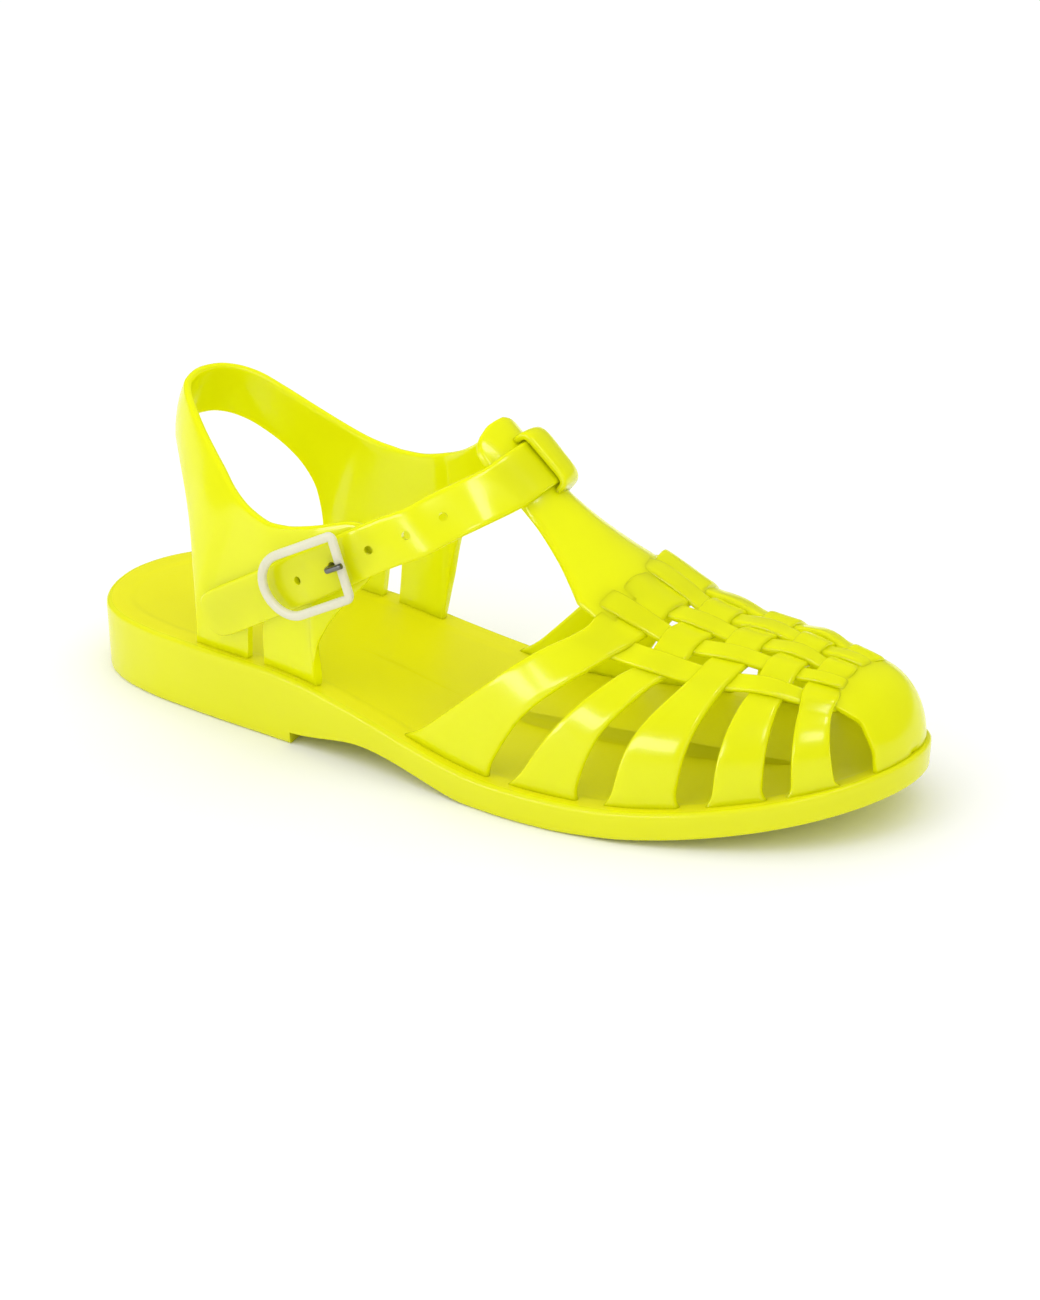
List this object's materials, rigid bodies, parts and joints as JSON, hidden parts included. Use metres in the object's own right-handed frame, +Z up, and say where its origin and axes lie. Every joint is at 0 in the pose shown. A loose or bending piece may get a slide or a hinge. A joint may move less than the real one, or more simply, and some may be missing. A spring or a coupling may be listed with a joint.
{
  "type": "jelly sandal",
  "caption": "Moulded jelly sandal with a woven vamp, closed toe, T-bar, heel sling and a buckled ankle strap.",
  "frame": {"origin": "on the floor under the middle of the outsole", "axes": "+X to the toe, +Y to the inner side of the foot, +Z up"},
  "size_m": [0.25, 0.0888, 0.091],
  "materials": {
    "sole": "glossy yellow PVC",
    "upper": "glossy yellow PVC, slightly translucent",
    "buckle": "off-white plastic, satin",
    "pin": "dark steel"
  },
  "bodies": {
    "root": {"outsole": "sole", "upper_vamp": "upper", "upper_quarter": "upper", "buckle_frame": "buckle", "buckle_pin": "pin"}
  },
  "joints": []
}
